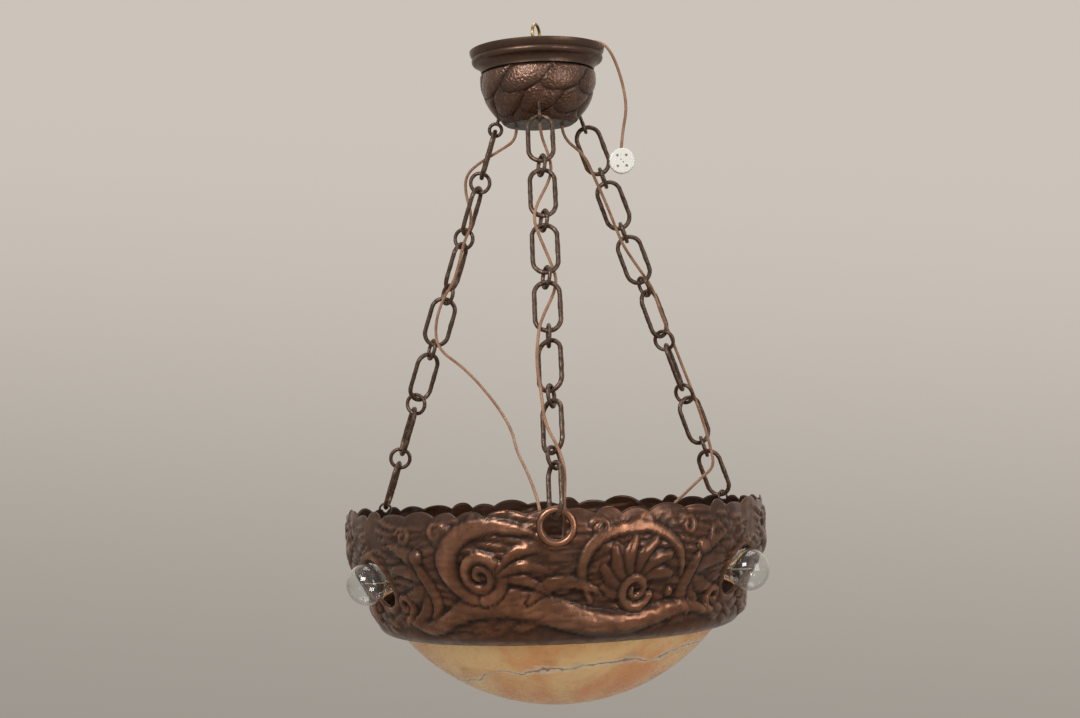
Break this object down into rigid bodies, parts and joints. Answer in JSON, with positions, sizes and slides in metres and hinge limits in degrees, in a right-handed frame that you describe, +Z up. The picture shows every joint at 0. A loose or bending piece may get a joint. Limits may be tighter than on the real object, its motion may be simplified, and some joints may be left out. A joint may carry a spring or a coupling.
{
  "type": "alabaster bowl pendant",
  "caption": "Pendant light with an embossed copper drum on long-link chains, a shallow alabaster bowl below it and globe bulbs standing out of its side.",
  "frame": {"origin": "point inside the suspension ring that bears on the ceiling hook", "axes": "+Z up, -Y towards the viewer (front), +X to the right"},
  "size_m": [0.469, 0.5001, 0.7666],
  "materials": {
    "brass": "satin, lightly tarnished",
    "spun_copper": "satin brown patina",
    "embossed_copper": "brown copper patina, dark in the hollows",
    "iron": "dark, plain",
    "chain_bronze": "dark brown patina, hammered",
    "alabaster": "polished, translucent, veined",
    "clear_glass": "clear",
    "cap_metal": "bright",
    "holder_brass": "satin",
    "porcelain": "glazed",
    "flex_cloth": "woven"
  },
  "bodies": {
    "ring": {"suspension_ring": "brass"},
    "pendant": {"suspension_eye": "brass", "eye_nut": "brass", "canopy_rim": "spun_copper", "canopy_cup": "embossed_copper", "canopy_bridge": "iron", "bridge_screws": "brass", "front_hook": "chain_bronze", "front_link_1": "chain_bronze", "front_link_2": "chain_bronze", "front_link_3": "chain_bronze", "front_link_4": "chain_bronze", "front_link_5": "chain_bronze", "front_link_6": "chain_bronze", "front_link_7": "chain_bronze", "front_rings": "chain_bronze", "left_hook": "chain_bronze", "left_link_1": "chain_bronze", "left_link_2": "chain_bronze", "left_link_3": "chain_bronze", "left_link_4": "chain_bronze", "left_link_5": "chain_bronze", "left_link_6": "chain_bronze", "left_link_7": "chain_bronze", "left_rings": "chain_bronze", "right_hook": "chain_bronze", "right_link_1": "chain_bronze", "right_link_2": "chain_bronze", "right_link_3": "chain_bronze", "right_link_4": "chain_bronze", "right_link_5": "chain_bronze", "right_link_6": "chain_bronze", "right_link_7": "chain_bronze", "right_rings": "chain_bronze", "left_end_ring": "chain_bronze", "right_end_ring": "chain_bronze", "drum": "embossed_copper", "left_lampholder": "holder_brass", "right_lampholder": "holder_brass", "back_lampholder": "holder_brass", "centre_lampholder": "holder_brass", "lamp_hub": "holder_brass", "lamp_arms": "holder_brass", "hub_supports": "holder_brass", "terminal_block": "porcelain", "terminal_screws": "brass", "front_flex": "flex_cloth", "left_flex": "flex_cloth", "right_flex": "flex_cloth", "feed_flex": "flex_cloth"},
    "bowl": {"alabaster_bowl": "alabaster"},
    "left_bulb": {"left_bulb_glass": "clear_glass", "left_bulb_cap": "cap_metal"},
    "right_bulb": {"right_bulb_glass": "clear_glass", "right_bulb_cap": "cap_metal"},
    "back_bulb": {"back_bulb_glass": "clear_glass", "back_bulb_cap": "cap_metal"},
    "centre_bulb": {"centre_bulb_glass": "clear_glass", "centre_bulb_cap": "cap_metal"}
  },
  "joints": [
    {"name": "sway", "type": "hinge", "parent": "ring", "child": "pendant", "pos_m": [0, 0, -0.0222], "axis": [0.342, 0.9397, 0], "range_deg": [-12, 12]},
    {"name": "bowl_lift", "type": "slide", "parent": "pendant", "child": "bowl", "axis": [0, 0, 1], "range_m": [0, 0.012]},
    {"name": "left_bulb_turn", "type": "hinge", "parent": "pendant", "child": "left_bulb", "pos_m": [-0.20178, -0.1165, -0.61601], "axis": [-0.866, -0.5, 0], "range_deg": [0, 1260]},
    {"name": "right_bulb_turn", "type": "hinge", "parent": "pendant", "child": "right_bulb", "pos_m": [0.20178, -0.1165, -0.61601], "axis": [0.866, -0.5, 0], "range_deg": [0, 1260]},
    {"name": "back_bulb_turn", "type": "hinge", "parent": "pendant", "child": "back_bulb", "pos_m": [0, 0.233, -0.61601], "axis": [0, 1, 0], "range_deg": [0, 1260]},
    {"name": "centre_bulb_turn", "type": "hinge", "parent": "pendant", "child": "centre_bulb", "pos_m": [0, 0, -0.62901], "axis": [0, 0, -1], "range_deg": [0, 1260]}
  ]
}
